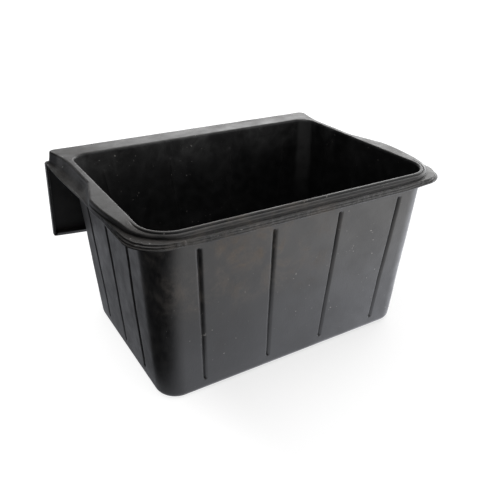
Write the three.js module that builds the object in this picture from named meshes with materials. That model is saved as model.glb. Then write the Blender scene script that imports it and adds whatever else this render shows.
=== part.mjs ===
// Hook-over feed bucket for horses: a tapered tub with a stepped rim, moulded with a raised rear
// ledge and a hanging plate that hook over a stall board. Millimetres, +Z up, front towards -Y.
//
// Plan positions are written from the front edge of the tub's mouth (y = 0, x = 0 on the centre
// line) and the whole moulding is then shifted so that the origin is at the bottom centre of its box.
import * as THREE from 'three';
import { mergeVertices } from 'three/addons/utils/BufferGeometryUtils.js';

// Driving dimensions.
const HEIGHT = 237;
const MOUTH_WIDTH = 400;
const MOUTH_DEPTH = 277;
const WALL = 4; // thickness of the walls and the floor
const WALL_OUT = 3; // how far the walls' outer face stands outside the mouth's edge at the top
const SHEET = 3; // thickness of the hanging plate and its turned-in edges
const GAP = 0.3; // clearance between neighbouring zones

// Tub walls.
const SIDE_DRAFT = 15; // how far the front and the sides come in between mouth and base
const REAR_DRAFT = 21;
const FRONT_CORNER = { mouth: 39, base: 28 }; // outer radii
const REAR_CORNER = { mouth: 27, base: 33 };
const BASE_FILLET = 9;
const WALL_TOP = HEIGHT - 12;

// Flutes pressed into the walls.
const FLUTE = { top: 211, bottom: 17, run: 5, width: 8.4, floor: 5.4, depth: 2.5, inner: 0.3 };
// Places at the base and at the top, as fractions of the half run.
const FRONT_FLUTES = [[-0.83, -0.896], [-0.261, -0.3], [0.261, 0.3], [0.83, 0.896]];
const SIDE_FLUTES = [[-0.67, -0.67], [0, 0], [0.67, 0.67]];

// Rim: the deck is its flat top, the lip is its outermost lower edge.
const FRONT_DECK = 8.3; // how far the upper tier reaches in front of the mouth
const FRONT_LIP = 13.5;
const DECK_CORNER = { front: 42, rear: 12 };
const LIP_CORNER = { front: 39, rear: 5 };
const FLARE = { y: 119, end: 170, halfWidth: 223, frontHalfWidth: 205.5 };
const PLATFORM = { y: 235, halfWidth: 209, rearHalfWidth: 220 };
const LIP_HALF_WIDTH = { front: 222, rear: 224.5 };
const LIP_DROP = { front: 15, side: 12.5, rear: 19 };

// Hook over the board.
const LEDGE_REAR = 315; // rear edge of the flat ledge
const PLATE = { front: 316, topHalfWidth: 223.5, bottomHalfWidth: 227, cornerZ: 105.6, bow: 10 };
const RETURN_DEPTH = 9;
const PLATE_TOP = HEIGHT - LIP_DROP.rear - GAP;

const REAR_LIP = PLATE.front + SHEET;
const DEPTH_CENTRE = (REAR_LIP - FRONT_LIP) / 2;
const RUBBER = { color: 0x2b2b2c, roughness: 0.55, metalness: 0 };

const quarter = Math.PI / 2;
const mix = THREE.MathUtils.lerp;
const smooth = THREE.MathUtils.smoothstep;
const clamp01 = (value) => THREE.MathUtils.clamp(value, 0, 1);

// ---------------------------------------------------------------------------------------------
// Sheets

// Turns a closed geometry's faces out if its corners run the wrong way round.
function facingOut(geometry) {
  const position = geometry.getAttribute('position');
  const index = geometry.getIndex();
  const corners = [new THREE.Vector3(), new THREE.Vector3(), new THREE.Vector3()];
  let volume = 0;
  for (let k = 0; k < index.count; k += 3) {
    corners.forEach((corner, c) => corner.fromBufferAttribute(position, index.getX(k + c)));
    volume += corners[0].dot(corners[1].cross(corners[2]));
  }
  if (volume < 0) {
    for (let k = 0; k < index.count; k += 3) {
      const first = index.getX(k);
      index.setX(k, index.getX(k + 2));
      index.setX(k + 2, first);
    }
  }
  return geometry;
}

// A box bent into a thin curved sheet. place(station, row, outer) gives each corner of its grid.
function sheet(stations, rows, place) {
  const box = new THREE.BoxGeometry(stations, rows, 1, stations, rows, 1);
  box.deleteAttribute('normal');
  box.deleteAttribute('uv');
  const position = box.getAttribute('position');
  for (let k = 0; k < position.count; k += 1) {
    const station = Math.round(position.getX(k) + stations / 2);
    const row = Math.round(position.getY(k) + rows / 2);
    const point = place(station, row, position.getZ(k) > 0);
    position.setXYZ(k, point.x, point.y, point.z);
  }
  const solid = facingOut(mergeVertices(box));
  solid.computeVertexNormals();
  return solid;
}

// Evenly spaced numbers from start to end, both included.
function spaced(start, end, steps) {
  return Array.from({ length: steps + 1 }, (_, k) => mix(start, end, k / steps));
}

// ---------------------------------------------------------------------------------------------
// Tub walls and floor

// Plan of the outer face of the walls at one height.
function wallPlan(z) {
  const down = 1 - z / HEIGHT;
  return {
    halfWidth: MOUTH_WIDTH / 2 + WALL_OUT - SIDE_DRAFT * down,
    front: -WALL_OUT + SIDE_DRAFT * down,
    rear: MOUTH_DEPTH + WALL_OUT - REAR_DRAFT * down,
    frontRadius: mix(FRONT_CORNER.mouth, FRONT_CORNER.base, down),
    rearRadius: mix(REAR_CORNER.mouth, REAR_CORNER.base, down),
  };
}

// Centres and radii of the four corners, anticlockwise from front left.
function cornersOf(plan) {
  const { halfWidth, front, rear, frontRadius, rearRadius } = plan;
  return [
    { x: frontRadius - halfWidth, y: front + frontRadius, radius: frontRadius },
    { x: halfWidth - frontRadius, y: front + frontRadius, radius: frontRadius },
    { x: halfWidth - rearRadius, y: rear - rearRadius, radius: rearRadius },
    { x: rearRadius - halfWidth, y: rear - rearRadius, radius: rearRadius },
  ];
}

// Stations along one wall, from the middle of one corner to the middle of the next.
function wallStations(flutes) {
  const half = FLUTE.width / 2;
  const floor = FLUTE.floor / 2;
  const arcs = spaced(0, 1, 4).slice(0, -1);
  const run = [{ place: [-1, -1], offset: 0, depth: 0 }];
  for (const place of flutes) {
    run.push({ place, offset: -half, depth: 0 });
    run.push({ place, offset: -floor, depth: 1 });
    run.push({ place, offset: floor, depth: 1 });
    run.push({ place, offset: half, depth: 0 });
  }
  run.push({ place: [1, 1], offset: 0, depth: 0 });
  return [
    ...arcs.map((turn) => ({ corner: 0, turn: turn - 1 })),
    ...run,
    ...arcs.map((turn) => ({ corner: 1, turn: 1 - turn })).reverse(),
  ];
}

// How deep and how wide the flutes are at one height, as parts of their size at the top.
function fluteAt(z) {
  const ends = Math.min(z - FLUTE.bottom, FLUTE.top - z) / FLUTE.run;
  const up = clamp01((z - FLUTE.bottom) / (FLUTE.top - FLUTE.bottom));
  return { depth: clamp01(ends) * mix(0.5, 1, up), width: mix(0.55, 1, up) };
}

// Rows of a wall from its base fillet up: the fillet by its turn, the rest by height.
function wallRows() {
  const fillet = [0, 0.33, 0.67, 1].map((part) => ({ z: BASE_FILLET, turn: part * quarter }));
  const heights = [
    FLUTE.bottom, FLUTE.bottom + FLUTE.run, 80, 145, FLUTE.top - FLUTE.run, FLUTE.top, WALL_TOP - GAP,
  ];
  return [...fillet, ...heights.map((z) => ({ z, turn: quarter }))];
}

// One of the four walls. side 0 is the front, then anticlockwise: right, rear, left.
function wall(side, flutes) {
  const stations = wallStations(flutes);
  const rows = wallRows();
  const facing = (side - 1) * quarter;
  const outward = new THREE.Vector2(Math.cos(facing), Math.sin(facing));
  const along = new THREE.Vector2(-outward.y, outward.x);
  return sheet(stations.length - 1, rows.length - 1, (s, r, outer) => {
    const station = stations[s];
    const row = rows[r];
    const radius = BASE_FILLET - (outer ? 0 : WALL);
    const inset = BASE_FILLET - radius * Math.sin(row.turn);
    const z = row.z - radius * Math.cos(row.turn);
    const corners = cornersOf(wallPlan(z));
    const ends = [corners[side], corners[(side + 1) % 4]];
    if (station.corner !== undefined) {
      const centre = ends[station.corner];
      const angle = facing + (station.turn * Math.PI) / 4;
      const reach = centre.radius - inset;
      return new THREE.Vector3(
        centre.x + reach * Math.cos(angle), centre.y + reach * Math.sin(angle), z,
      );
    }
    const flute = fluteAt(z);
    const pressed = FLUTE.depth * flute.depth * station.depth * (outer ? 1 : FLUTE.inner);
    const [from, to] = ends.map((end) => new THREE.Vector2(end.x, end.y).addScaledVector(outward, end.radius));
    const place = mix(station.place[0], station.place[1], z / HEIGHT);
    const spot = from.lerp(to, (place + 1) / 2);
    spot.addScaledVector(along, station.offset * flute.width);
    spot.addScaledVector(outward, -inset - pressed);
    return new THREE.Vector3(spot.x, spot.y, z);
  });
}

// Flat floor inside the base fillet.
function floorPanel() {
  const corners = cornersOf(wallPlan(0));
  const shape = new THREE.Shape();
  corners.forEach((centre, k) => {
    const radius = centre.radius - BASE_FILLET - GAP;
    shape.absarc(centre.x, centre.y, radius, (k - 2) * quarter, (k - 1) * quarter, false);
  });
  return new THREE.ExtrudeGeometry(shape, { depth: WALL, bevelEnabled: false, curveSegments: 6 });
}

// ---------------------------------------------------------------------------------------------
// Rim

// Half width of the deck at a depth y: it flares to a shoulder in the middle of each side, drops
// back to the narrow top of the platform, and spreads again into the platform's rear corners.
function deckHalfWidth(y) {
  if (y < FLARE.y) {
    const rise = Math.sin(quarter * clamp01(y / FLARE.y));
    return mix(FLARE.frontHalfWidth, FLARE.halfWidth, rise);
  }
  const back = clamp01((y - FLARE.y) / (FLARE.end - FLARE.y));
  const corner = clamp01((y - PLATFORM.y) / (LEDGE_REAR - PLATFORM.y));
  const platform = mix(PLATFORM.halfWidth, PLATFORM.rearHalfWidth, corner * corner);
  return mix(FLARE.halfWidth, platform, back);
}

function lipHalfWidth(y) {
  return mix(LIP_HALF_WIDTH.front, LIP_HALF_WIDTH.rear, smooth(y, 90, 300));
}

// Signed distance outside a rounded rectangle whose half width may change with y.
function outside(point, halfWidth, front, rear, radii) {
  const middle = (front + rear) / 2;
  const radius = point.y < middle ? radii.front : radii.rear;
  const x = Math.abs(point.x) - halfWidth + radius;
  const y = Math.abs(point.y - middle) - (rear - front) / 2 + radius;
  return Math.hypot(Math.max(x, 0), Math.max(y, 0)) + Math.min(Math.max(x, y), 0) - radius;
}

const deckOutside = (p) => outside(p, deckHalfWidth(p.y), -FRONT_DECK, LEDGE_REAR, DECK_CORNER);
const lipOutside = (p) => outside(p, lipHalfWidth(p.y), -FRONT_LIP, REAR_LIP, LIP_CORNER);

// Distance from a point on the mouth, along its outward direction, to an outline.
function reachTo(outline, from, direction) {
  let near = 0;
  let far = 80;
  for (let k = 0; k < 40; k += 1) {
    const half = (near + far) / 2;
    if (outline(from.clone().addScaledVector(direction, half)) < 0) near = half;
    else far = half;
  }
  return near;
}

// A rib is one section through the rim, at a point of the mouth's edge.
function ribAt(x, y, angle) {
  const from = new THREE.Vector2(x, y);
  const outward = new THREE.Vector2(Math.cos(angle), Math.sin(angle));
  const deck = reachTo(deckOutside, from, outward);
  const lip = reachTo(lipOutside, from, outward);
  const frontness = y < FRONT_CORNER.mouth ? 1 - smooth(Math.abs(x), 135, 198) : 0;
  const sideDrop = mix(LIP_DROP.side, LIP_DROP.rear, smooth(y, 80, 290));
  return {
    from,
    outward,
    deck,
    lip: Math.max(lip, deck + 1),
    drop: mix(sideDrop, LIP_DROP.front, frontness),
    skirt: smooth(y, 104, 130),
    ridge: 1 - smooth(y, 8, 45),
  };
}

// Ribs round one corner of the mouth. quadrant 0 is front left, then anticlockwise.
function cornerRibs(quadrant, steps) {
  const mouth = {
    halfWidth: MOUTH_WIDTH / 2, front: 0, rear: MOUTH_DEPTH,
    frontRadius: FRONT_CORNER.mouth - WALL_OUT, rearRadius: REAR_CORNER.mouth - WALL_OUT,
  };
  const centre = cornersOf(mouth)[quadrant];
  return spaced(0, 1, steps).map((part) => {
    const angle = (quadrant - 2 + part) * quarter;
    const x = centre.x + centre.radius * Math.cos(angle);
    const y = centre.y + centre.radius * Math.sin(angle);
    return ribAt(x, y, angle);
  });
}

// Ribs along one side of the mouth. hand is -1 on the left and 1 on the right.
function sideRibs(hand, depths) {
  return depths.map((y) => ribAt((hand * MOUTH_WIDTH) / 2, y, hand > 0 ? 0 : Math.PI));
}

// Section of the rim: out is measured from the mouth's edge, down from the top of the rim.
// Upper face first from the mouth outwards, then the lower face below each of its points.
function section(rib) {
  const { deck, lip, drop, skirt, ridge } = rib;
  const bead = (value) => value * ridge;
  const step = (tiered, scooped) => mix(tiered, scooped, skirt);
  const shelf = lip - deck;
  const upper = [
    [-1.7, 12],
    [-0.2, 1.8],
    [0.7, 0.5],
    [2, 0],
    [3.2, bead(0.8)],
    [4, bead(1.3)],
    [deck - 3.4, bead(1.3)],
    [deck - 1.7, bead(0.9) + 0.7],
    [deck - 0.4, step(3.2 + bead(0.8), 2.2)],
    [deck, step(7, 4)],
    [deck + shelf * step(0.12, 0.1), step(7.8, 0.38 * drop)],
    [deck + shelf * step(0.7, 0.28), step(8.2, 0.62 * drop)],
    [deck + shelf * step(0.9, 0.58), step(9.4, 0.82 * drop)],
    [lip, drop - 1.6],
    [lip, drop],
  ];
  const lower = [
    [2.2, 12],
    [2.6, 4.8],
    [2.9, 4.2],
    [3.1, 4.2],
    [3.3, 4.2],
    [3.5, 4.2],
    [deck - 3.5, 4.2],
    [deck - 3.3, 5],
    [deck - 3.1, step(7.4, 6)],
    [deck - 2.9, step(10.2, 8)],
    [deck - 2.6 + shelf * step(0.12, 0.1), step(10.9, 0.38 * drop + 4.6)],
    [lip - step(2.9, 3 + 0.66 * shelf), step(11.1, 0.62 * drop + 4)],
    [lip - step(2.5, 2.4 + 0.36 * shelf), step(11.4, 0.82 * drop + 2.6)],
    [lip - 2.2, drop - step(0.8, 0.2)],
    [lip - 2, drop],
  ];
  return { upper, lower };
}

// One stretch of the rim between its first and last rib.
function rimStretch(ribs) {
  const sections = ribs.map(section);
  return sheet(ribs.length - 1, sections[0].upper.length - 1, (s, r, outer) => {
    const [out, down] = sections[s][outer ? 'upper' : 'lower'][r];
    const plan = ribs[s].from.clone().addScaledVector(ribs[s].outward, out);
    return new THREE.Vector3(plan.x, plan.y, HEIGHT - down);
  });
}

// ---------------------------------------------------------------------------------------------
// Hanging plate and its turned-in edges

// Height of the plate's bowed bottom edge at a width x.
function plateBottom(x) {
  const across = x / PLATE.bottomHalfWidth;
  return PLATE.cornerZ - PLATE.bow * (1 - across * across);
}

function plateHalfWidth(z) {
  const down = (PLATE_TOP - z) / (PLATE_TOP - PLATE.cornerZ);
  return mix(PLATE.topHalfWidth, PLATE.bottomHalfWidth, down);
}

function hookPlate() {
  const across = spaced(-1, 1, 16);
  const rows = spaced(0, 1, 3);
  return sheet(across.length - 1, rows.length - 1, (s, r, outer) => {
    const bottom = plateBottom(across[s] * PLATE.bottomHalfWidth);
    const z = mix(bottom, PLATE_TOP, rows[r]);
    return new THREE.Vector3(
      across[s] * plateHalfWidth(z), PLATE.front + (outer ? SHEET : 0), z,
    );
  });
}

// The strip along the bottom edge, turned towards the tub and mitred at both ends.
function bottomReturn() {
  const across = spaced(-1, 1, 16);
  return sheet(across.length - 1, 1, (s, r, outer) => {
    const height = outer ? SHEET : 0;
    const reach = PLATE.bottomHalfWidth - GAP - height;
    const x = across[s] * reach;
    const y = PLATE.front - GAP - (r ? 0 : RETURN_DEPTH);
    return new THREE.Vector3(x, y, plateBottom(x) + height);
  });
}

// The strip down one side edge. hand is -1 on the left and 1 on the right.
function sideReturn(hand) {
  return sheet(4, 1, (s, r, outer) => {
    const width = outer ? 0 : SHEET;
    const foot = plateBottom(PLATE.bottomHalfWidth - width) + width + GAP;
    const z = mix(foot, PLATE_TOP - GAP, s / 4);
    const y = PLATE.front - GAP - (r ? 0 : RETURN_DEPTH);
    return new THREE.Vector3(hand * (plateHalfWidth(z) - width), y, z);
  });
}

// ---------------------------------------------------------------------------------------------
// Assembly

const moulding = new THREE.Group();
moulding.position.set(0, -DEPTH_CENTRE, 0);

function add(name, geometry) {
  const mesh = new THREE.Mesh(geometry, new THREE.MeshStandardMaterial(RUBBER));
  mesh.name = name;
  moulding.add(mesh);
}

// Ribs of neighbouring stretches stop half a gap short of the line between them.
const shy = GAP / 2;
const sideFrontEnd = FRONT_CORNER.mouth - WALL_OUT;
const sideRearEnd = MOUTH_DEPTH - REAR_CORNER.mouth + WALL_OUT;
const flareEnd = FLARE.end;

const frontPlaces = [-130, -60, 60, 130];
const frontRibs = [
  ...cornerRibs(0, 8), ...frontPlaces.map((x) => ribAt(x, 0, -quarter)), ...cornerRibs(1, 8),
];
const flareDepths = [...spaced(sideFrontEnd + GAP, FLARE.y, 8), ...spaced(FLARE.y + 6, flareEnd - shy, 6)];
const skirtDepths = spaced(flareEnd + shy, sideRearEnd - GAP, 5);
const ledgeRibs = [...cornerRibs(2, 8), ...cornerRibs(3, 8)];

add('floor_panel', floorPanel());
add('front_wall', wall(0, FRONT_FLUTES));
add('right_wall', wall(1, SIDE_FLUTES));
add('rear_wall', wall(2, FRONT_FLUTES));
add('left_wall', wall(3, SIDE_FLUTES));
add('front_rim', rimStretch(frontRibs));
for (const [side, hand] of [['left', -1], ['right', 1]]) {
  add(`${side}_rim_flare`, rimStretch(sideRibs(hand, flareDepths)));
  add(`${side}_skirt`, rimStretch(sideRibs(hand, skirtDepths)));
}
add('hook_ledge', rimStretch(ledgeRibs));
add('hook_plate', hookPlate());
add('hook_bottom_return', bottomReturn());
for (const [side, hand] of [['left', -1], ['right', 1]]) {
  add(`hook_${side}_return`, sideReturn(hand));
}

export default moulding;
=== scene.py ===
# Looks of the hook-over feed bucket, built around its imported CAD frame.
#
# Every zone of the moulding is one closed mesh that stands for the CAD node of the same place.
# Neighbouring zones share their boundary points and their surface normals, so they read as one
# moulding. Sizes are in millimetres, except in the material and the studio, which are in metres.
# Plan positions are measured from the front edge of the tub's mouth, as in the CAD.
import math

import bpy
import numpy as np
from mathutils import Matrix, Vector


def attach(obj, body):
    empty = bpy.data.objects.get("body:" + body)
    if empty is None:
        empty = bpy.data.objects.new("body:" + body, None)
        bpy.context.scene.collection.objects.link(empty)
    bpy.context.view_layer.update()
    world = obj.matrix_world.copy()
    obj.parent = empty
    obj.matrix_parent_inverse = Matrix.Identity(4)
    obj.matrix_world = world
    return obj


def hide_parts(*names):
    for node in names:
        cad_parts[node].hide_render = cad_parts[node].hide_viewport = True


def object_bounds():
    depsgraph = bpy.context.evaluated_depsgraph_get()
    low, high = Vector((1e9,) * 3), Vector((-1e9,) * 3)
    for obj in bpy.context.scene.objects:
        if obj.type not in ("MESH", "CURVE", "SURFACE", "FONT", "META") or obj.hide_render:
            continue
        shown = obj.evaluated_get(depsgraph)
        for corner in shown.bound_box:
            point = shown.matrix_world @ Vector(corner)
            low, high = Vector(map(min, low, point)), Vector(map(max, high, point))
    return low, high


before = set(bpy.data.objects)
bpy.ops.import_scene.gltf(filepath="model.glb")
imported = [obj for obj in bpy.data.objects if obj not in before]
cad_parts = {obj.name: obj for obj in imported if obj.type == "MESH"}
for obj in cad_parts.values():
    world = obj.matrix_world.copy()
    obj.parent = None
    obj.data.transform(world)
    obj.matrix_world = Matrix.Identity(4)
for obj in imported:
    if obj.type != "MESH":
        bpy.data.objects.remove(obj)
cad_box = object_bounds()

MM = 0.001
QUARTER = math.pi / 2
UP = np.array([0.0, 0.0, 1.0])

# ---------------------------------------------------------------------------------------------
# Driving dimensions

HEIGHT = cad_box[1].z / MM
MOUTH_WIDTH = 400.0
MOUTH_DEPTH = 277.0
WALL = 4.0
WALL_OUT = 3.0  # from the mouth's edge to the walls' outer face at the top
SHEET = 3.0
SIDE_DRAFT = 15.0
REAR_DRAFT = 21.0
FRONT_CORNER = (28.0, 39.0)  # outer radius at the base and at the mouth
REAR_CORNER = (33.0, 27.0)
BASE_FILLET = 9.0
RIM_FOOT = 12.0  # depth below the top at which the walls end and the rim begins
WALL_TOP = HEIGHT - RIM_FOOT

FLUTE_TOP = 211.0
FLUTE_BOTTOM = 17.0
FLUTE_RUN = 4.0  # height over which a flute's ends run out
FLUTE_WIDTH = 10.0
FLUTE_SPREAD = (0.86, 1.04)  # share of the width, at the base and at the top
FLUTE_DEPTH = 3.8
FLUTE_DEEPENING = (0.78, 1.05)  # share of the depth, at a flute's bottom and top
FLUTE_INSIDE = 0.12  # how much of a flute shows on the inner face
FLUTE_MARGIN = 0.048  # room kept round a flute's middle, as a fraction of the half run
# Places at the base and at the top, as fractions of the half run.
FRONT_FLUTES = ((-0.83, -0.896), (-0.261, -0.3), (0.261, 0.3), (0.83, 0.896))
SIDE_FLUTES = ((-0.67, -0.67), (0.0, 0.0), (0.67, 0.67))

FRONT_LIP = 13.5
FRONT_DECK = 8.3
DECK_CORNER = (42.0, 12.0)  # front, rear
LIP_CORNER = (39.0, 5.0)
FLARE_Y = 119.0
FLARE_END = 170.0
FLARE_HALF = (205.5, 223.0)  # half width at the front and where the shoulder is widest
PLATFORM_Y = 235.0
PLATFORM_HALF = (209.0, 221.5)  # front, rear
LIP_HALF = (222.0, 224.5)
LIP_DROP_FRONT = 16.0
LIP_DROP_SIDE = 12.5
LIP_DROP_REAR = 19.0

LEDGE_REAR = 315.0
PLATE_HALF = (224.5, 227.0)  # top, bottom
PLATE_CORNER_Z = 105.6
PLATE_BOW = 10.0
RETURN_DEPTH = 9.3
PLATE_CORNER = 3.0
TRAY_INSET = 9.0  # width of the plate's edge zones

# Height of the irregularities.
WALL_WAVE = 0.55
WALL_DIMPLE = 0.16
RIM_WAVE = 0.22
RIM_FLASH = 0.42

SHIFT_Y = cad_box[0].y / MM + FRONT_LIP
PLATE_FACE = cad_box[1].y / MM - SHIFT_Y  # outer face of the hanging plate
PLATE_TOP = HEIGHT - LIP_DROP_REAR


def mix(a, b, t):
    return a + (b - a) * t


def clamp(t):
    return np.clip(t, 0.0, 1.0)


def smooth(value, low, high):
    t = clamp((np.asarray(value, float) - low) / (high - low))
    return t * t * (3 - 2 * t)


def even(start, end, spacing):
    """Numbers from start to end, both included, at about this spacing."""
    return np.linspace(start, end, max(2, int(round(abs(end - start) / spacing)) + 1))


# ---------------------------------------------------------------------------------------------
# Irregularity of the moulded surface

rng = np.random.default_rng(7)


def wave_field(wavelength, waves=14):
    """A smooth random field over space, about 1 high, with features about this long."""
    directions = rng.normal(size=(waves, 3))
    directions /= np.linalg.norm(directions, axis=1)[:, None]
    pitches = wavelength * rng.uniform(0.7, 1.5, waves)
    phases = rng.uniform(0, 2 * math.pi, waves)

    def field(points):
        angles = points @ (directions * (2 * math.pi / pitches)[:, None]).T + phases
        return np.sin(angles).sum(-1) * math.sqrt(2 / waves) / 2

    return field


wall_waves = wave_field(110)
wall_dimples = wave_field(34)
rim_waves = wave_field(60)
rim_flash = wave_field(7, 18)


# ---------------------------------------------------------------------------------------------
# Stations: places round the moulding, each a plan point on the walls' outer face at the base
# and at the top, the outward direction there, and how far into a flute it lies.


class Stations:
    def __init__(self, base, top, outward, pressed=None):
        self.base = base
        self.top = top
        self.outward = outward
        self.pressed = np.zeros(len(base)) if pressed is None else pressed

    def __len__(self):
        return len(self.base)


def join(*parts):
    fields = ("base", "top", "outward", "pressed")
    return Stations(*(np.concatenate([getattr(p, f) for p in parts]) for f in fields))


def plan(level):
    """Plan of the walls' outer face. level 0 is the base, 1 the top."""
    down = 1 - level
    return {
        "half": MOUTH_WIDTH / 2 + WALL_OUT - SIDE_DRAFT * down,
        "front": -WALL_OUT + SIDE_DRAFT * down,
        "rear": MOUTH_DEPTH + WALL_OUT - REAR_DRAFT * down,
        "front_radius": FRONT_CORNER[level],
        "rear_radius": REAR_CORNER[level],
    }


def corner(level, quadrant):
    """Centre and radius of one corner, anticlockwise from front left."""
    p = plan(level)
    if quadrant % 4 < 2:
        radius = p["front_radius"]
        y = p["front"] + radius
    else:
        radius = p["rear_radius"]
        y = p["rear"] - radius
    x = (p["half"] - radius) * (-1 if quadrant % 4 in (0, 3) else 1)
    return np.array([x, y]), radius


def directions(angles):
    return np.stack([np.cos(angles), np.sin(angles)], -1)


def corner_stations(quadrant, parts):
    outward = directions((quadrant - 2 + np.asarray(parts)) * QUARTER)
    places = [centre + radius * outward for centre, radius in (corner(0, quadrant), corner(1, quadrant))]
    return Stations(*places, outward)


def straight_stations(side, places, offsets=None, pressed=None):
    """places run from -1 to 1 along a side, one for both levels or a pair for base and top.
    offsets are in mm across a flute."""
    places = np.asarray(places, float)
    if places.ndim == 1:
        places = np.stack([places, places], -1)
    offsets = np.zeros(len(places)) if offsets is None else offsets
    facing = np.full(len(places), (side - 1) * QUARTER)
    outward = directions(facing)
    along = directions(facing + QUARTER)
    found = []
    for level, spread in enumerate(FLUTE_SPREAD):
        start, radius_a = corner(level, side)
        end, radius_b = corner(level, side + 1)
        start = start + radius_a * outward
        end = end + radius_b * outward
        t = (places[:, level, None] + 1) / 2
        found.append(mix(start, end, t) + along * (offsets * spread)[:, None])
    return Stations(*found, outward, pressed)


def fluted_side(side, flutes, spacing=0.035):
    """Stations along one wall: fine across each flute, coarse between."""
    parts = np.linspace(-1, 1, 21)
    across = FLUTE_WIDTH / 2 * np.sign(parts) * np.abs(parts) ** 1.25
    depth = (1 - np.abs(across) / (FLUTE_WIDTH / 2)) ** 2
    last = len(flutes)
    places, offsets, pressed = [], [], []
    edges = np.array([(-1.0, -1.0), *flutes, (1.0, 1.0)])
    for k in range(last + 1):
        a = edges[k] + (FLUTE_MARGIN if k else 0)
        b = edges[k + 1] - (FLUTE_MARGIN if k < last else 0)
        count = max(2, int(round((b - a).mean() / spacing)) + 1)
        between = mix(a, b, np.linspace(0, 1, count)[:, None])
        between = between[0 if k else 1: None if k < last else -1]
        places += list(between)
        offsets += [0.0] * len(between)
        pressed += [0.0] * len(between)
        if k < last:
            places += [edges[k + 1]] * len(across)
            offsets += list(across)
            pressed += list(depth)
    return straight_stations(side, places, np.array(offsets), np.array(pressed))


def spots(stations, out, z):
    """Points at distance out (positive outwards) from the outer face, at height z. out and z are
    arrays of stations by loop points."""
    level = (z / HEIGHT)[..., None]
    base = stations.base[:, None, :]
    top = stations.top[:, None, :]
    flat = mix(base, top, level) + stations.outward[:, None, :] * out[..., None]
    return np.concatenate([flat, z[..., None]], -1)


# ---------------------------------------------------------------------------------------------
# Rounded sections


def rounded(points, radii, steps=4):
    """Rounds the corners of open outlines. points is sections by corners by 2, radii one for each
    corner; the two ends stay as they are."""
    result = [points[:, 0]]
    for k in range(1, points.shape[1] - 1):
        here = points[:, k]
        to_last = points[:, k - 1] - here
        to_next = points[:, k + 1] - here
        last_length = np.linalg.norm(to_last, axis=1)[:, None] + 1e-9
        next_length = np.linalg.norm(to_next, axis=1)[:, None] + 1e-9
        reach = np.minimum(radii[k], 0.46 * np.minimum(last_length, next_length))
        a = here + to_last / last_length * reach
        b = here + to_next / next_length * reach
        for u in np.linspace(0, 1, steps):
            result.append((1 - u) ** 2 * a + 2 * u * (1 - u) * here + u * u * b)
    result.append(points[:, -1])
    return np.stack(result, 1)


# ---------------------------------------------------------------------------------------------
# Walls and floor


def wall_outline():
    """Loop of a wall's section as rows of (inset, height, share of a flute's depth)."""
    turns = np.linspace(0, QUARTER, 9)
    outer = [(BASE_FILLET * (1 - math.sin(t)), BASE_FILLET * (1 - math.cos(t)), 1.0) for t in turns]
    heights = [
        *np.linspace(BASE_FILLET + 3, FLUTE_BOTTOM, 3),
        *np.linspace(FLUTE_BOTTOM, FLUTE_BOTTOM + FLUTE_RUN, 6)[1:],
        *even(FLUTE_BOTTOM + FLUTE_RUN, FLUTE_TOP - FLUTE_RUN, 12)[1:-1],
        *np.linspace(FLUTE_TOP - FLUTE_RUN, FLUTE_TOP, 6),
        *np.linspace(FLUTE_TOP, WALL_TOP, 4)[1:],
    ]
    outer += [(0.0, z, 1.0) for z in heights]
    inner = [(WALL, z, FLUTE_INSIDE) for z in heights[::-1]]
    radius = BASE_FILLET - WALL
    inner += [
        (BASE_FILLET - radius * math.sin(t), BASE_FILLET - radius * math.cos(t), FLUTE_INSIDE)
        for t in turns[::-1]
    ]
    return np.array(outer + inner), len(outer)


def wall_grid(stations):
    outline, outer_count = wall_outline()
    inset, z, share = outline.T
    ends = np.minimum(z - FLUTE_BOTTOM, FLUTE_TOP - z) / FLUTE_RUN
    rise = clamp((z - FLUTE_BOTTOM) / (FLUTE_TOP - FLUTE_BOTTOM))
    depth = FLUTE_DEPTH * smooth(ends, 0, 1) * mix(*FLUTE_DEEPENING, rise)
    out = -(inset + stations.pressed[:, None] * (depth * share)[None, :])
    grid = spots(stations, out, np.broadcast_to(z, out.shape))
    # The sheet bellies a little between base and rim, and isn't quite flat anywhere.
    free = smooth(z, 4, 40) * (1 - smooth(z, 195, WALL_TOP - 1))
    bump = (WALL_WAVE * wall_waves(grid) + WALL_DIMPLE * wall_dimples(grid)) * free
    grid[..., :2] += stations.outward[:, None, :] * bump[..., None]
    return grid, outer_count


def floor_patch(ring, height, rings=7):
    """Concentric rows of points from the ring in to its middle."""
    middle = ring.mean(0)
    rows = [mix(ring, middle, t) for t in np.linspace(0, 1, rings + 1)[:-1]]
    flat = np.stack(rows)
    flat[..., 2] = height
    return flat, middle


# ---------------------------------------------------------------------------------------------
# Rim


def deck_half(y):
    front = mix(FLARE_HALF[0], FLARE_HALF[1], np.sin(QUARTER * clamp(y / FLARE_Y)))
    back = clamp((y - FLARE_Y) / (FLARE_END - FLARE_Y))
    spread = clamp((y - PLATFORM_Y) / (LEDGE_REAR - PLATFORM_Y))
    platform = mix(PLATFORM_HALF[0], PLATFORM_HALF[1], spread ** 2)
    return np.where(y < FLARE_Y, front, mix(FLARE_HALF[1], platform, back))


def lip_half(y):
    return mix(LIP_HALF[0], LIP_HALF[1], smooth(y, 90, 300))


def outside(point, half, front, rear, radii):
    """Signed distance outside a rounded rectangle whose half width changes with y."""
    middle = (front + rear) / 2
    radius = np.where(point[:, 1] < middle, radii[0], radii[1])
    x = np.abs(point[:, 0]) - half(point[:, 1]) + radius
    y = np.abs(point[:, 1] - middle) - (rear - front) / 2 + radius
    return np.hypot(np.maximum(x, 0), np.maximum(y, 0)) + np.minimum(np.maximum(x, y), 0) - radius


SEARCH_REACH = 95.0
SEARCH_STEPS = 40


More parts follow.
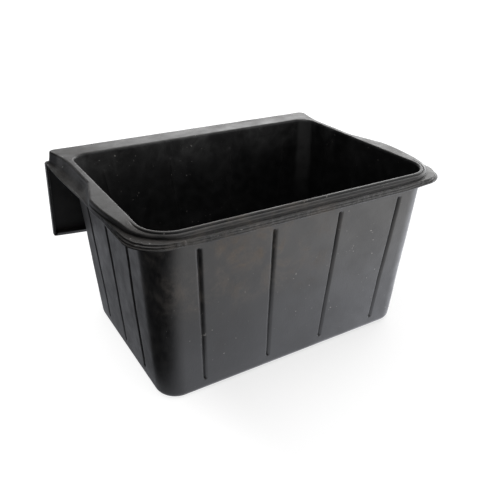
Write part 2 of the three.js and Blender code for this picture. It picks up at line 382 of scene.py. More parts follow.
def reach_to(stations, half, front, rear, radii):
    """Distance from the mouth's edge, along each outward direction, to an outline, found by
    halving."""
    start = stations.top - stations.outward * WALL_OUT
    near = np.zeros(len(stations))
    far = np.full(len(stations), SEARCH_REACH)
    for _ in range(SEARCH_STEPS):
        half_way = (near + far) / 2
        inside = outside(start + stations.outward * half_way[:, None], half, front, rear, radii) < 0
        near = np.where(inside, half_way, near)
        far = np.where(inside, far, half_way)
    return near


# Corner radii of the rim's section, in the order of the points in rim_section.
RIM_UPPER_RADII = (
    0, 2.0, 0.9, 0.9, 0.6, 0.6, 0.8, 2.2, 2.0, 0.7, 0.5, 0.9, 1.0, 0.6, 0.4, 0.6, 0.4, 0.4, 0
)
RIM_LOWER_RADII = (0, 0.5, 1.0, 1.5, 1.5, 1.2, 1.2, 0.6, 0)


def rim_draft(y):
    """Draft of the wall below the rim at depth y."""
    return mix(SIDE_DRAFT, REAR_DRAFT, smooth(y, MOUTH_DEPTH - 8, MOUTH_DEPTH))


def rim_section(stations):
    """Upper and lower outlines of the rim at each station: out from the mouth's edge, down from
    the top of the rim."""
    x, y = stations.top[:, 0], stations.top[:, 1]
    deck = reach_to(stations, deck_half, -FRONT_DECK, LEDGE_REAR, DECK_CORNER)
    lip = reach_to(stations, lip_half, -FRONT_LIP, PLATE_FACE, LIP_CORNER)
    lip = np.maximum(lip, deck + 1.0)
    shelf = lip - deck
    frontness = np.where(y < FRONT_CORNER[1], 1 - smooth(np.abs(x), 135, 198), 0)
    drop = mix(mix(LIP_DROP_SIDE, LIP_DROP_REAR, smooth(y, 80, 290)), LIP_DROP_FRONT, frontness)
    skirt = smooth(y, 104, 130)
    ridge = 1 - smooth(y, 8, 50)
    low = drop / LIP_DROP_FRONT
    edge = mix(2.0, SHEET, smooth(y, 200, 300))
    rear_side = smooth(y, 200, 275)
    upright = smooth(y, 195, 265)
    draft = rim_draft(y) / HEIGHT

    def wall_out(down):
        return WALL_OUT - draft * down

    def step(tiered, scooped):
        return mix(tiered, scooped, skirt)

    zero = np.zeros(len(stations))
    upper = [
        (wall_out(RIM_FOOT) - WALL, zero + RIM_FOOT),
        (wall_out(2.4) - WALL, zero + mix(2.2, 2.6, rear_side)),
        (zero + 0.1, 0.25 * rear_side),
        (2.8 - 0.6 * rear_side, 0 * ridge),
        (3.8 + 0.5 * rear_side, 2.9 * ridge),
        (4.6 + 0.5 * rear_side, 2.9 * ridge),
        (5.2 + 0.5 * rear_side, 1.5 * ridge),
        (deck - step(1.2, 3.0), 0.1 + 2.7 * ridge),
        (deck - step(0.1, 0.7), step(3.0 + 1.6 * ridge, mix(1.0, 1.3, upright))),
        (deck - step(0.5, 0.0), step(7.2 * low, mix(3.6, 5.6, upright))),
        (deck - step(0.1, -0.1 * shelf), step(8.9 * low, mix(0.38, 0.52, upright) * drop)),
        (deck + shelf * step(0.22, 0.17), step(8.2 * low, mix(0.5, 0.63, upright) * drop)),
        (
            deck + shelf * step(0.67, mix(0.28, 0.2, upright)),
            step(8.5 * low, mix(0.62, 0.74, upright) * drop),
        ),
        (
            deck + shelf * step(0.72, mix(0.5, 0.4, upright)),
            step(9.9 * low, mix(0.78, 0.85, upright) * drop),
        ),
        (deck + shelf * step(0.66, 0.7), step(10.9 * low, mix(0.87, 0.9, upright) * drop)),
        (deck + shelf * step(0.84, 0.86), step(12.0 * low, 0.925 * drop)),
        (deck + shelf * step(0.82, 0.95), step(14.1 * low, drop - 1.7)),
        (lip, drop - step(1.5, 0.9)),
        (lip - 0.1, drop),
    ]
    lower = [
        (lip - edge, drop),
        (lip - step(edge + 0.2, 2.4 + 0.36 * shelf), step(0.84 * drop, 0.82 * drop + 2.6)),
        (mix(deck, lip, step(0.35, 0.3)) - step(1.2, 2.6), step(0.78 * drop, 0.62 * drop + 4)),
        (deck - 2.6 + 0.1 * shelf * skirt, step(0.73 * drop, 0.38 * drop + 4.6)),
        (deck - 3.0, step(0.3 * drop + 1.5, 7.6)),
        (deck - 3.6, 4.2 + 0.7 * ridge),
        (zero + 3.6, 4.2 + 0.7 * ridge),
        (wall_out(5.4), 5.4 + 0.7 * ridge),
        (wall_out(RIM_FOOT), zero + RIM_FOOT),
    ]
    return [
        np.stack([np.stack([out + zero, down + zero], -1) for out, down in part], 1)
        for part in (upper, lower)
    ]


# Corners of the upper outline that the lower outline's corners lie across from, first to last.
RIM_ACROSS = (18, 15.5, 13.5, 11, 9, 8, 5, 2, 0)
UPPER_STEPS = 4  # points for each rounded corner
LOWER_STEPS = 3


def opposite_points(count, loop):
    """For each point of the upper outline, the loop point across the sheet from it."""
    upper_corner = (np.arange(count) - 1) / UPPER_STEPS + 0.6
    lower_corner = np.interp(upper_corner, RIM_ACROSS[::-1], np.arange(len(RIM_ACROSS))[::-1])
    opposite = count + np.clip(np.round(lower_corner * LOWER_STEPS - 1), 0, None).astype(int)
    opposite[0] = loop - 1
    opposite[-1] = count
    return np.minimum(opposite, loop - 1)


def rim_grid(stations):
    upper, lower = rim_section(stations)
    upper = rounded(upper, RIM_UPPER_RADII, UPPER_STEPS)
    lower = rounded(lower, RIM_LOWER_RADII, LOWER_STEPS)
    outline = np.concatenate([upper, lower], 1)
    out, down = outline[..., 0], outline[..., 1]
    z = HEIGHT - down
    face = rim_draft(stations.top[:, 1])[:, None]
    grid = spots(stations, out - WALL_OUT + face * down / HEIGHT, z)
    # The outer faces of the rim are a little uneven, most of all the rough lower tier at the front.
    along = np.arange(outline.shape[1])
    count = upper.shape[1]
    frontness = (1 - smooth(stations.top[:, 1], 60, 120))[:, None]
    tier = smooth(along, count * 0.52, count * 0.58) * (1 - smooth(along, count * 0.86, count * 0.94))
    visible = smooth(along, 1, 6) * (1 - smooth(along, count - 2, count + 1))
    shift = RIM_WAVE * rim_waves(grid) * visible[None, :]
    shift = shift + RIM_FLASH * rim_flash(grid) * tier[None, :] * frontness
    grid[..., :2] += stations.outward[:, None, :] * shift[..., None]
    grid[..., 2] += 0.25 * shift
    return grid, count


# ---------------------------------------------------------------------------------------------
# Hanging plate: a shallow tray whose path runs down the left edge, along the bowed bottom edge
# and up the right edge. Each path point has two edge directions, which differ only in a corner.


def plate_bottom(x):
    return PLATE_CORNER_Z - PLATE_BOW * (1 - (x / PLATE_HALF[1]) ** 2)


def plate_half(z):
    return mix(PLATE_HALF[0], PLATE_HALF[1], (PLATE_TOP - z) / (PLATE_TOP - PLATE_CORNER_Z))


def corner_middle():
    """Centre (x, z) of the plate's bottom right corner radius."""
    z = PLATE_CORNER_Z + PLATE_CORNER
    return plate_half(z) - PLATE_CORNER, z


def tray_path():
    """Path points as (x, z), outward direction (x, z), and the mitre direction used past the
    corner's own radius. Runs from top left to top right."""
    r = PLATE_CORNER
    cx, cz = corner_middle()
    side_z = even(PLATE_TOP, cz, 5)
    left = [(-plate_half(z), z, -1.0, 0.0, -1.0, 0.0) for z in side_z]
    turns = np.linspace(0, QUARTER, 9)[1:-1]
    curve = [
        (-cx - r * math.cos(t), cz - r * math.sin(t), -math.cos(t), -math.sin(t), -1.0, -1.0)
        for t in turns
    ]
    lift = cz - r - PLATE_CORNER_Z
    half = [(x, plate_bottom(x) + lift, 0.0, -1.0, 0.0, -1.0) for x in even(-cx, 0, 5)]
    first = np.array(left + curve + half)
    mirrored = first[::-1][1:] * np.array([-1, 1, -1, 1, -1, 1])
    split = len(left) + len(curve) // 2
    return np.concatenate([first, mirrored]), split


def tray_outlines():
    """Sections of the turned-in edge, at the sides and along the bottom: inset from the plate's
    edge, and y."""
    face, back, lip = PLATE_FACE, PLATE_FACE - SHEET, PLATE_FACE - SHEET - RETURN_DEPTH
    side = [(0.0, lip), (SHEET - 0.3, lip), (SHEET + 1.2, back)]
    bead = [(0.0, lip + 4.2), (6.4, lip), (8.0, back)]
    found = []
    for turned_in in (side, bead):
        corners = np.array([[(TRAY_INSET, face), (0.0, face), *turned_in, (TRAY_INSET, back)]])
        found.append(rounded(corners, (0, 4.0, 0.9, 1.4, 1.2, 0), steps=5)[0])
    return found


def tray_spot(path, inset, y):
    """Points at an inset from the path. Past the corner's radius all of a corner's points meet on
    its mitre line."""
    in_corner = np.abs(path[:, 4]) * np.abs(path[:, 5]) > 0.5
    turned = np.where(in_corner[:, None], np.minimum(inset, PLATE_CORNER), inset)
    past = np.where(in_corner[:, None], np.maximum(inset - PLATE_CORNER, 0.0), 0.0)
    x = path[:, 0, None] - path[:, 2, None] * turned - path[:, 4, None] * past
    z = path[:, 1, None] - path[:, 3, None] * turned - path[:, 5, None] * past
    # The straight edges' points stay on their own side of the mitre.
    beyond = np.maximum(inset - PLATE_CORNER, 0.0)
    end_x = corner_middle()[0] - beyond
    on_bottom = ((np.abs(path[:, 3]) > 0.5) & ~in_corner)[:, None]
    on_side = ~(on_bottom | in_corner[:, None])
    x = np.where(on_bottom, np.clip(x, -end_x, end_x), x)
    z = np.where(on_side, np.maximum(z, corner_middle()[1] + beyond), z)
    x = np.where(on_side, path[:, 2, None] * (plate_half(z) - inset), x)
    return np.stack([x, np.broadcast_to(y, x.shape), z], -1)


def tray_grid(path):
    side, bead = tray_outlines()
    outline = mix(side, bead, np.abs(path[:, 3])[:, None, None])
    return tray_spot(path, outline[..., 0], outline[..., 1])


def plate_grids(path):
    """Outer and inner face of the flat plate, as rows from the bottom edge up."""
    edge = tray_spot(path, np.full((len(path), 1), TRAY_INSET), np.array([PLATE_FACE]))[:, 0]
    in_corner = np.abs(path[:, 4]) * np.abs(path[:, 5]) > 0.5
    on_bottom = (np.abs(path[:, 3]) > 0.5) & ~in_corner
    on_left = (path[:, 2] < -0.5) & ~in_corner
    bottom = edge[on_bottom]
    foot = edge[in_corner][0], edge[in_corner][-1]
    bottom = np.concatenate([[foot[0]], bottom[1:-1], [foot[1]]])
    heights = np.concatenate([[foot[0][2]], edge[on_left][::-1][1:, 2]])
    rise = (heights - heights[0]) / (heights[-1] - heights[0])
    across = bottom[:, 0] / bottom[-1, 0]
    flat_half = plate_half(heights) - TRAY_INSET
    x = across[None, :] * np.concatenate([[bottom[-1, 0]], flat_half[1:]])[:, None]
    z = mix(bottom[None, :, 2], heights[-1], rise[:, None])
    outer = np.stack([x, np.full(x.shape, PLATE_FACE), z], -1)
    inner = outer.copy()
    inner[..., 1] -= SHEET
    return outer, inner


# ---------------------------------------------------------------------------------------------
# Meshes. Each zone collects its points and faces; the skin's normals are worked out over all the
# zones together, so that a shared boundary is shaded as one surface.


class Zone:
    def __init__(self, name):
        self.name = name
        self.points = np.zeros((0, 3))
        self.faces = []
        self.is_skin = []

    def add_points(self, points):
        start = len(self.points)
        self.points = np.concatenate([self.points, points.reshape(-1, 3)])
        return start + np.arange(points.size // 3).reshape(points.shape[:-1])

    def add_face(self, ids, skin):
        ids = [int(i) for i in ids]
        self.faces.append(ids)
        self.is_skin.append(skin)

    def add_strip(self, a, b, skin=True):
        for k in range(len(a) - 1):
            self.add_face((a[k], b[k], b[k + 1], a[k + 1]), skin)


zones = []
# Steps of a millimetre in which two points' places are compared, to weld them into one and to
# give them one normal.
WELD_STEPS = 2e3
SHADE_STEPS = 50


def close_end(zone, ids, far_side, opposite):
    """Closes one end of a looped zone with short faces through the sheet's thickness. far_side is
    the loop point where the inner face begins, opposite the loop point across from each outer one."""
    for k in range(far_side - 1):
        for j in range(opposite[k], opposite[k + 1], -1):
            zone.add_face((ids[k], ids[j], ids[j - 1]), False)
        zone.add_face((ids[k], ids[opposite[k + 1]], ids[k + 1]), False)


def looped_zone(name, grid, seams, far_side=None, opposite=None):
    """A closed zone from loops: stations by loop points. seams are the loop edges that lie inside
    the moulding, against another zone; the two ends are always inside it."""
    zone = Zone(name)
    ids = zone.add_points(grid)
    loop = ids.shape[1]
    for k in range(loop):
        zone.add_strip(ids[:, k], ids[:, (k + 1) % loop], k not in seams)
    if opposite is None:
        zone.add_face(ids[0][::-1], False)
        zone.add_face(ids[-1], False)
    else:
        close_end(zone, ids[0], far_side, opposite)
        start = len(zone.faces)
        close_end(zone, ids[-1], far_side, opposite)
        zone.faces[start:] = [face[::-1] for face in zone.faces[start:]]
    zones.append(zone)
    return zone


def weld(zone):
    """Merges points at the same place and drops the faces that this flattens, so that the zone is
    one closed surface, and turns its faces out."""
    keys = np.round(zone.points * WELD_STEPS).astype(np.int64)
    _, first, same = np.unique(keys, axis=0, return_index=True, return_inverse=True)
    same = same.reshape(-1)
    zone.points = zone.points[first]
    faces, skins = [], []
    for face, skin in zip(zone.faces, zone.is_skin):
        ids = [int(same[i]) for i in face]
        ids = [i for k, i in enumerate(ids) if i != ids[k - 1]]
        if len(ids) > 2:
            faces.append(ids)
            skins.append(skin)
    volume = 0.0
    for ids in faces:
        corners = zone.points[ids]
        volume += np.einsum("j,ij->i", corners[0], np.cross(corners[1:-1], corners[2:])).sum()
    if volume < 0:
        faces = [ids[::-1] for ids in faces]
    zone.faces, zone.is_skin = faces, skins


def face_normals(zone):
    """Area-weighted normal of each face."""
    found = np.zeros((len(zone.faces), 3))
    for k, ids in enumerate(zone.faces):
        corners = zone.points[ids]
        found[k] = np.cross(corners - corners[0], np.roll(corners, -1, 0) - corners[0]).sum(0) / 2
    return found


def shared_normals():
    """Corner normals for every zone."""
    keys = np.concatenate([np.round(z.points * SHADE_STEPS).astype(np.int64) for z in zones])
    _, same = np.unique(keys, axis=0, return_inverse=True)
    same = same.reshape(-1)
    sums = np.zeros((same.max() + 1, 3))
    start = 0
    flat = []
    for zone in zones:
        normals = face_normals(zone)
        flat.append(normals)
        for ids, normal, skin in zip(zone.faces, normals, zone.is_skin):
            if skin:
                sums[np.unique(same[start + np.array(ids)])] += normal
        start += len(zone.points)
    sums /= np.linalg.norm(sums, axis=1)[:, None] + 1e-12
    start = 0
    result = []
    for zone, normals in zip(zones, flat):
        corner_list = []
        for ids, normal, skin in zip(zone.faces, normals, zone.is_skin):
            own = normal / (np.linalg.norm(normal) + 1e-12)
            corner_list += [sums[same[start + i]] if skin else own for i in ids]
        start += len(zone.points)
        result.append(np.array(corner_list))
    return result


def build_object(zone, normals, material):
    mesh = bpy.data.meshes.new(zone.name)
    points = (zone.points + np.array([0, SHIFT_Y, 0])) * MM
    mesh.from_pydata(points.tolist(), [], zone.faces)
    mesh.polygons.foreach_set("use_smooth", np.ones(len(zone.faces), bool))
    mesh.normals_split_custom_set(normals.tolist())
    mesh.materials.append(material)
    mesh.update()
    piece = bpy.data.objects.new(zone.name, mesh)
    bpy.context.scene.collection.objects.link(piece)
    return piece


# ---------------------------------------------------------------------------------------------
# The zones


def side_depths(start, end, spacing):
    """Places along a side, as straight_stations wants them, for depths y at the top."""
    front = corner(1, 1)[0][1]
    rear = corner(1, 2)[0][1]
    return 2 * (even(start, end, spacing) - front) / (rear - front) - 1


def make_tub():
    walls = (
        ("front_wall", FRONT_FLUTES),
        ("right_wall", SIDE_FLUTES),
        ("rear_wall", FRONT_FLUTES),
        ("left_wall", SIDE_FLUTES),
    )
    arc = np.linspace(0, 1, 25)
    middle = len(arc) // 2
    outer_ring, inner_ring = [], []
    for side, (name, flutes) in enumerate(walls):
        stations = join(
            corner_stations(side, arc[middle:]),
            fluted_side(side, flutes),
            corner_stations(side + 1, arc[: middle + 1]),
        )
        grid, outer_count = wall_grid(stations)
        last = grid.shape[1] - 1
        opposite = last - np.arange(outer_count)
        looped_zone("zone_" + name, grid, {outer_count - 1, last}, outer_count, opposite)
        outer_ring.append(grid[:-1, 0])
        inner_ring.append(grid[:-1, last])
    zone = Zone("zone_floor_panel")
    rims = []
    for ring, height in ((np.concatenate(outer_ring), 0.0), (np.concatenate(inner_ring), WALL)):
        rows, centre = floor_patch(ring, height)
        ids = zone.add_points(rows)
        hub = int(zone.add_points(centre[None] * [1, 1, 0] + [[0, 0, height]])[0])
        closed = np.concatenate([ids, ids[:, :1]], 1)
        rims.append(closed[0])
        for k in range(len(closed) - 1):
            a, b = closed[k], closed[k + 1]
            zone.add_strip(*((a, b) if height else (b, a)))
        for k in range(closed.shape[1] - 1):
            pair = (closed[-1][k], closed[-1][k + 1])
            zone.add_face((hub, *pair[::-1]) if height else (hub, *pair), True)
    zone.add_strip(rims[0], rims[1], False)
    zones.append(zone)


# Spacing of the rim's sections, as a fraction of the half run.
FRONT_SPACING = 2.2 / 160
LEDGE_SPACING = 8 / 160


def make_rim():
    fine = np.linspace(0, 1, 49)
    rear_fine = np.concatenate(
        [np.linspace(0, 0.5, 34)[:-1], np.linspace(0.5, 0.7, 41)[:-1], np.linspace(0.7, 1, 20)]
    )
    front = join(
        corner_stations(0, fine),
        straight_stations(0, even(-1, 1, FRONT_SPACING)[1:-1]),
        corner_stations(1, fine),
    )
    ledge = join(
        corner_stations(2, rear_fine),
        straight_stations(2, even(-1, 1, LEDGE_SPACING)[1:-1]),
        corner_stations(3, 1 - rear_fine[::-1]),
    )
    front_y = corner(1, 1)[0][1]
    rear_y = corner(1, 2)[0][1]
    flare = np.concatenate([
        side_depths(front_y, FLARE_Y - 8, 3.0)[:-1],
        side_depths(FLARE_Y - 8, FLARE_Y + 6, 1.0)[:-1],
        side_depths(FLARE_Y + 6, FLARE_END, 2.5),
    ])
    skirt = side_depths(FLARE_END, rear_y, 3.0)
    stretches = {
        "front_rim": front,
        "right_rim_flare": straight_stations(1, flare),
        "right_skirt": straight_stations(1, skirt),
        "hook_ledge": ledge,
        "left_skirt": straight_stations(3, -skirt[::-1]),
        "left_rim_flare": straight_stations(3, -flare[::-1]),
    }
    for name, stations in stretches.items():
        grid, count = rim_grid(stations)
        opposite = opposite_points(count, grid.shape[1])
        looped_zone("zone_" + name, grid, {grid.shape[1] - 1}, count, opposite)


def make_plate():
    path, split = tray_path()
    last = len(path)
    stretches = {
        "hook_left_return": path[: split + 1],
        "hook_bottom_return": path[split: last - split],
        "hook_right_return": path[last - split - 1:],
    }
    for name, part in stretches.items():
        grid = tray_grid(part)
        looped_zone("zone_" + name, grid, {grid.shape[1] - 1})
    outer, inner = plate_grids(path)
    zone = Zone("zone_hook_plate")
    faces = []
    for points, flip in ((outer, False), (inner, True)):
        ids = zone.add_points(points)
        faces.append(ids)
        for k in range(len(ids) - 1):
            a, b = (ids[k], ids[k + 1]) if flip else (ids[k + 1], ids[k])
            zone.add_strip(a, b)
    ring = [np.concatenate([f[0, :-1], f[:-1, -1], f[-1, :0:-1], f[:0:-1, 0], f[0, :1]]) for f in faces]
    zone.add_strip(ring[0], ring[1], False)
    zones.append(zone)


# ---------------------------------------------------------------------------------------------
# Material


class Nodes:
    """Short forms for building a node tree."""

    def __init__(self, tree):
        self.tree = tree
        tree.nodes.clear()

    def add(self, kind, inputs=None, **settings):
        node = self.tree.nodes.new(kind)
        for name, value in settings.items():
            setattr(node, name, value)
        for name, value in (inputs or {}).items():
            if isinstance(value, bpy.types.NodeSocket):
                self.tree.links.new(value, node.inputs[name])
            else:
                node.inputs[name].default_value = value
        return node

    def math(self, operation, *values):
        node = self.add("ShaderNodeMath", operation=operation)
        for k, value in enumerate(values):
            if isinstance(value, bpy.types.NodeSocket):
                self.tree.links.new(value, node.inputs[k])
            else:
                node.inputs[k].default_value = value
        return node.outputs[0]

    def span(self, value, low, high, to_low=0.0, to_high=1.0):
        """Maps low..high smoothly to to_low..to_high."""
        inputs = {"Value": value, "From Min": low, "From Max": high, "To Min": to_low, "To Max": to_high}
        return self.add("ShaderNodeMapRange", inputs, interpolation_type="SMOOTHSTEP").outputs[0]

    def noise(self, place, scale, detail=4.0, roughness=0.55, distortion=0.0):
        inputs = {"Vector": place, "Scale": scale, "Detail": detail, "Roughness": roughness}
        inputs["Distortion"] = distortion
        return self.add("ShaderNodeTexNoise", inputs).outputs["Fac"]

    def stretched(self, place, scale, turn=(0, 0, 0)):
        inputs = {"Vector": place, "Scale": scale, "Rotation": turn}
        return self.add("ShaderNodeMapping", inputs).outputs[0]

    def product(self, first, *others):
        for other in others:
            first = self.math("MULTIPLY", first, other)
        return first

    def axes(self, vector):
        """X, Y and Z of a vector."""
        return self.add("ShaderNodeSeparateXYZ", {"Vector": vector}).outputs

    def place(self, kind="Object"):
        return self.add("ShaderNodeTexCoord").outputs[kind]

    def band(self, value, middle, sharpness):
        """1 at the middle, falling evenly to 0 at 1 / sharpness away, and below 0 past that."""
        away = self.math("MULTIPLY", self.math("ADD", value, -middle), sharpness)
        return self.math("SUBTRACT", 1.0, self.math("ABSOLUTE", away))

    def blend(self, fac, a, b):
        node = self.add("ShaderNodeMix", data_type="RGBA")
        for name, value in (("Factor", fac), ("A", a), ("B", b)):
            socket = [s for s in node.inputs if s.name == name and s.enabled][0]
            if isinstance(value, bpy.types.NodeSocket):
                self.tree.links.new(value, socket)
            else:
                socket.default_value = value
        return [s for s in node.outputs if s.enabled][0]


BLACK = (0.0035, 0.0035, 0.0038, 1)
BLACK_WORN = (0.009, 0.009, 0.0094, 1)
# Pale colour for the rubbed band inside, which also paints the light falling there, and for the painted
# highlight in the rear right inner corner.
PALE_WEAR_AND_PAINTED_LIGHT = (0.045, 0.045, 0.045, 1)
DUST = (0.115, 0.095, 0.078, 1)
SCUFF = (0.10, 0.10, 0.10, 1)
FLECK = (0.22, 0.21, 0.20, 1)
PATCH = {"x": -0.075, "sharpness_x": 6.5, "z": 0.185, "sharpness_z": 12.0}
DUST_AMOUNT = {"patch": 1.05, "settled": 0.35, "all_over": 0.02}
FLECK_AMOUNT = 0.8
SCUFF_AMOUNT = 0.25
BUMP = {"grain": 0.25, "specks": 0.3, "mottle": 0.9, "scuffs": 0.2, "flash": 6.5}


def make_rubber():
    """Satin black rubber-polyethylene: cloudy moulding marks, fine grain, dust, scuffs, and paler colour
    inside that is partly wear and partly painted light.
    """
    material = bpy.data.materials.new("moulded_black_rubber")
    material.use_nodes = True
    n = Nodes(material.node_tree)
    place = n.place()
    facing = n.axes(n.add("ShaderNodeNewGeometry").outputs["Normal"])
    at = n.axes(place)

    clouds = n.noise(place, 14, 5, 0.6)
    mottle = n.noise(place, 70, 4, 0.6)
    grain = n.noise(place, 900, 3, 0.6)
    specks = n.noise(place, 330, 2, 0.5)

    colour = n.blend(n.span(mottle, 0.35, 0.75), BLACK, BLACK_WORN)

    # Dust: a cloudy patch on the upper left of the front wall, some on everything that faces
    # up, and a trace all over.
    patch_x = n.band(at[0], PATCH["x"], PATCH["sharpness_x"])
    patch_z = n.band(at[2], PATCH["z"], PATCH["sharpness_z"])
    patch = n.product(n.span(patch_x, 0, 0.8), n.span(patch_z, 0, 0.8), n.span(at[1], -0.10, -0.13))
    smears = n.span(n.noise(place, 24, 6, 0.65, 0.6), 0.42, 0.72)
    dusty = n.math("MULTIPLY", smears, n.span(mottle, 0.3, 0.6))
    settled = n.math("MULTIPLY", n.span(facing[2], 0.4, 1.0), n.span(clouds, 0.35, 0.7, 0.1, 0.34))
    patch_dust = n.product(patch, dusty, DUST_AMOUNT["patch"])
    dust = n.math("ADD", patch_dust, n.math("MULTIPLY", settled, DUST_AMOUNT["settled"]))
    dust = n.math("ADD", dust, n.math("MULTIPLY", dusty, DUST_AMOUNT["all_over"]))
    colour = n.blend(n.math("MINIMUM", dust, 1.0), colour, DUST)

    # Paler colour, partly rubbed wear and partly painted light from above: a mottled band along the top
    # of the rear inside, and a painted highlight down its right corner.
    band = n.product(
        n.span(at[2], 0.178, 0.230),
        n.span(at[1], -0.08, 0.08),
        n.span(at[1], 0.136, 0.128),
        n.span(n.noise(place, 26, 6, 0.68, 0.5), 0.40, 0.72),
    )
    # Painted highlight: a paler vertical band down the rear right inner corner.
    painted_corner_highlight = n.product(
        n.span(facing[0], -0.2, -0.5),
        n.span(facing[1], -0.05, -0.35),
        n.span(at[0], 0.14, 0.16),
        n.span(at[1], 0.05, 0.08),
        n.span(at[2], 0.10, 0.22, 0.0, 0.9),
        n.span(mottle, 0.2, 0.6, 0.6, 1.0),
    )
    colour = n.blend(n.math("MAXIMUM", band, painted_corner_highlight), colour, PALE_WEAR_AND_PAINTED_LIGHT)

    # A few pale flecks.
    flecks = n.span(n.noise(place, 210, 1, 0.5), 0.735, 0.765)
    flecks = n.product(flecks, n.span(clouds, 0.45, 0.6), FLECK_AMOUNT)
    colour = n.blend(flecks, colour, FLECK)

    # Scuffs: thin short strokes in two directions, broken up by a coarser noise.
    marks = []
    for k, turn in enumerate(((0.2, 0.5, 0.3), (0.9, -0.4, 1.3))):
        strokes = n.noise(n.stretched(place, (60, 420, 420) if k else (420, 60, 300), turn), 1.0, 2, 0.5)
        where = n.noise(place, 17 + 6 * k, 3, 0.6)
        marks.append(n.math("MULTIPLY", n.span(strokes, 0.70, 0.78), n.span(where, 0.56, 0.68)))
    scuffs = n.math("MAXIMUM", marks[0], marks[1])
    colour = n.blend(n.math("MULTIPLY", scuffs, SCUFF_AMOUNT), colour, SCUFF)

    gloss = n.math("ADD", n.span(clouds, 0.3, 0.7, 0.36, 0.47), n.span(mottle, 0.3, 0.7, -0.03, 0.05))
    gloss = n.math("ADD", gloss, n.math("MULTIPLY", dust, 0.35))
    gloss = n.math("ADD", gloss, n.math("MULTIPLY", scuffs, 0.15))

    height = n.math("MULTIPLY", grain, BUMP["grain"])
    height = n.math("ADD", height, n.math("MULTIPLY", specks, BUMP["specks"]))
    height = n.math("ADD", height, n.math("MULTIPLY", mottle, BUMP["mottle"]))
    height = n.math("SUBTRACT", height, n.math("MULTIPLY", scuffs, BUMP["scuffs"]))
    # Rough flash on the rim's lower tier at the front.
    flash = n.product(
        n.span(at[2], 0.2205, 0.2225),
        n.span(at[2], 0.2300, 0.2285),
        n.span(at[1], -0.135, -0.150),
        n.span(n.noise(place, 40, 3, 0.6), 0.36, 0.62),
        n.noise(place, 430, 3, 0.7),
        BUMP["flash"],
    )
    height = n.math("ADD", height, flash)
    bump = n.add("ShaderNodeBump", {"Height": height, "Strength": 0.35, "Distance": 0.0006}).outputs[0]

    inputs = {"Base Color": colour, "Roughness": gloss, "Normal": bump}
    shader = n.add("ShaderNodeBsdfPrincipled", inputs)
    shader.inputs["IOR"].default_value = 1.5
    shader.inputs["Specular IOR Level"].default_value = 0.5
    n.add("ShaderNodeOutputMaterial", {"Surface": shader.outputs[0]})
    return material


# ---------------------------------------------------------------------------------------------
# Studio


WHITE = (1, 1, 1, 1)
FLOOR_GREY = (0.36, 0.36, 0.36, 1)
# Floor glow, weaker at the right of the object than at its left: painted shade beside the base.
FLOOR_GLOW = {"left": 0.90, "right": 0.70, "far": 0.97}
FLOOR_HALF = 12.5
FLOOR_Z = -0.0004
BACKDROP_GLOW = 1.15
BACKDROP_RADIUS = 12.0
# Brightness of the floor as the object's gloss sees it.
REFLECTED = {"dim": 0.02, "front": 1.4, "right": 2.45, "left": 0.5}
REFLECTED_HALF = 6.0
REFLECTED_Z = -0.0008
TINT_NEAR = (1.0, 0.985, 0.965, 1)
TINT_FAR = (0.965, 0.985, 1.05, 1)
SKY = {"low": 2.7, "high": 0.08, "lean": 0.6, "from": 0.08, "to": 0.40}
SOFTBOX = {"place": (0.1, -0.05, 2.1), "size": (2.6, 2.3), "watts": 40}


def glowing_material(name, left, right, far, colour=(0, 0, 0, 1)):
    """A pale surface lit from within, as a light table is, which also takes soft shadows. Its strength
    is given at the left and the right of the object, and well away from it; the weaker glow at the right
    is painted shade beside the base."""
    material = bpy.data.materials.new(name)
    material.use_nodes = True
    n = Nodes(material.node_tree)
    place = n.place()
    # Painted shade: the glow is weaker to the right of the object.
    near = n.span(n.axes(place)["X"], -0.22, -0.09, left, right)
    away = n.add("ShaderNodeVectorMath", {0: place}, operation="LENGTH").outputs["Value"]
    strength = n.span(away, 0.35, 1.3, near, far)
    glow = n.add("ShaderNodeEmission", {"Color": WHITE, "Strength": strength}).outputs[0]
    matt = n.add("ShaderNodeBsdfDiffuse", {"Color": colour}).outputs[0]
    both = n.add("ShaderNodeAddShader")
    n.tree.links.new(glow, both.inputs[0])
    n.tree.links.new(matt, both.inputs[1])
    n.add("ShaderNodeOutputMaterial", {"Surface": both.outputs[0]})
    return material


def seen_by(thing, camera=False, diffuse=False, glossy=False, shadow=False):
    thing.visible_camera = camera
    thing.visible_diffuse = diffuse
    thing.visible_glossy = glossy
    thing.visible_transmission = False
    thing.visible_volume_scatter = False
    thing.visible_shadow = shadow


def stage_plane(name, half, z, material):
    mesh = bpy.data.meshes.new(name)
    corners = [(-half, -half, z), (half, -half, z), (half, half, z), (-half, half, z)]
    mesh.from_pydata(corners, [], [(0, 1, 2, 3)])
    mesh.materials.append(material)
    thing = bpy.data.objects.new(name, mesh)
    bpy.context.scene.collection.objects.link(thing)
    return thing


def reflected_floor_material():
    """What the gloss of the object sees of the floor: bright to the right and behind, and dim at
    the front left, where a real studio table ends."""
    material = bpy.data.materials.new("reflected_floor")
    material.use_nodes = True
    n = Nodes(material.node_tree)
    at = n.axes(n.place())
    x = n.math("ADD", at[0], 0.19)
    y = n.math("ADD", at[1], 0.15)
    front = n.math("SUBTRACT", x, n.math("MULTIPLY", y, 0.09))
    left = n.math("ADD", n.math("MULTIPLY", x, 0.85), n.math("MULTIPLY", y, 0.5))
    level = n.span(at[0], -0.12, 0.34, REFLECTED["front"], REFLECTED["right"])
    front = n.math("MULTIPLY", n.span(front, -0.05, 0.055), level)
    left = n.span(left, 0.0, 0.06, REFLECTED["dim"], REFLECTED["left"])
    bright = n.math("MAXIMUM", front, left)
    tint = n.blend(n.span(at[1], -0.40, -0.20), TINT_NEAR, TINT_FAR)
    emission = n.add("ShaderNodeEmission", {"Color": tint, "Strength": bright}).outputs[0]
    n.add("ShaderNodeOutputMaterial", {"Surface": emission})
    return material


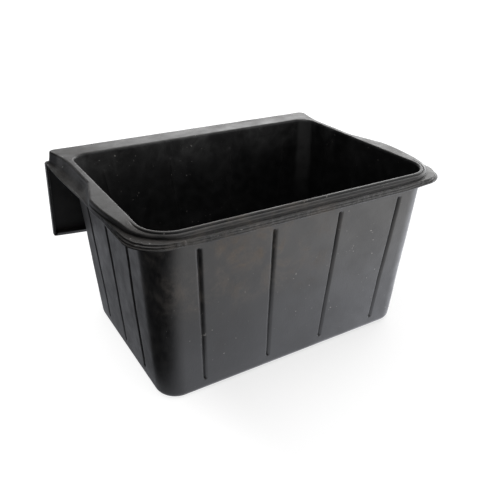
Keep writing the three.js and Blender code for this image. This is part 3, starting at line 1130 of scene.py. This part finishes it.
def make_world():
    """A bright backdrop low behind the object, higher at the right, that fades to a dim room."""
    world = bpy.data.worlds.new("studio")
    bpy.context.scene.world = world
    world.use_nodes = True
    n = Nodes(world.node_tree)
    toward = n.axes(n.place("Generated"))
    height = n.math("SUBTRACT", toward[2], n.math("MULTIPLY", toward[0], SKY["lean"]))
    low = n.span(height, SKY["from"], SKY["to"], 1.0, 0.0)
    ahead = n.span(toward[1], -0.5, 0.35, 0.25, 1.0)
    side = n.span(toward[0], -0.35, 0.75, 0.12, 1.35)
    low = n.math("MULTIPLY", n.math("MULTIPLY", low, ahead), side)
    level = n.math("ADD", n.math("MULTIPLY", low, SKY["low"]), SKY["high"])
    background = n.add("ShaderNodeBackground", {"Color": WHITE, "Strength": level}).outputs[0]
    n.add("ShaderNodeOutputWorld", {"Surface": background})


def make_softbox(name, place, size, watts):
    """A rectangular area light that faces the object's base."""
    light = bpy.data.lights.new(name, "AREA")
    light.shape = "RECTANGLE"
    light.size, light.size_y = size
    light.energy = watts
    thing = bpy.data.objects.new(name, light)
    bpy.context.scene.collection.objects.link(thing)
    thing.location = place
    thing.rotation_euler = (-Vector(place)).to_track_quat("-Z", "Y").to_euler()
    thing.visible_camera = False


def make_studio():
    floor_material = glowing_material("pale_floor", **FLOOR_GLOW, colour=FLOOR_GREY)
    floor = stage_plane("floor", FLOOR_HALF, FLOOR_Z, floor_material)
    seen_by(floor, camera=True, diffuse=True, shadow=True)
    mirror = stage_plane("reflected_floor", REFLECTED_HALF, REFLECTED_Z, reflected_floor_material())
    seen_by(mirror, glossy=True)
    bpy.ops.mesh.primitive_uv_sphere_add(segments=48, ring_count=24, radius=BACKDROP_RADIUS)
    backdrop = bpy.context.object
    backdrop.name = "backdrop"
    glow = glowing_material("white_backdrop", BACKDROP_GLOW, BACKDROP_GLOW, BACKDROP_GLOW)
    backdrop.data.materials.append(glow)
    seen_by(backdrop, camera=True)
    make_world()
    make_softbox("overhead_softbox", **SOFTBOX)


# The camera stands at the front left of the object and looks down at it. The place is in mm, as
# the driving dimensions are, and the angles are in degrees.
CAMERA_PLACE = (-388.56, -480.62, 498.90)
CAMERA_HEADING = 31.48  # to the right of straight ahead
CAMERA_DOWN = 27.42
CAMERA_ROLL = 1.02
CAMERA_LENS = 43.26
SENSOR = 36.0


def make_camera():
    data = bpy.data.cameras.new("camera")
    data.lens = CAMERA_LENS
    data.sensor_width = SENSOR
    data.clip_end = 200.0
    camera = bpy.data.objects.new("camera", data)
    bpy.context.scene.collection.objects.link(camera)
    a, e, r = (math.radians(v) for v in (CAMERA_HEADING, CAMERA_DOWN, CAMERA_ROLL))
    ahead = np.array([math.sin(a) * math.cos(e), math.cos(a) * math.cos(e), -math.sin(e)])
    right = np.cross(ahead, UP)
    right /= np.linalg.norm(right)
    up = np.cross(right, ahead)
    tilted_right = right * math.cos(r) + up * math.sin(r)
    tilted_up = -right * math.sin(r) + up * math.cos(r)
    turn = Matrix((tilted_right, tilted_up, -ahead)).transposed().to_4x4()
    place = (np.array(CAMERA_PLACE) + np.array([0, SHIFT_Y, 0])) * MM
    camera.matrix_world = Matrix.Translation(place) @ turn
    bpy.context.scene.camera = camera


# ---------------------------------------------------------------------------------------------

make_camera()
make_studio()
make_tub()
make_rim()
make_plate()
for made in zones:
    weld(made)
rubber = make_rubber()
for made, corner_normals in zip(zones, shared_normals()):
    piece = build_object(made, corner_normals, rubber)
    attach(piece, "root")
    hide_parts(made.name.removeprefix("zone_"))

scene = bpy.context.scene
scene.view_settings.view_transform = "Standard"
scene.cycles.max_bounces = 6
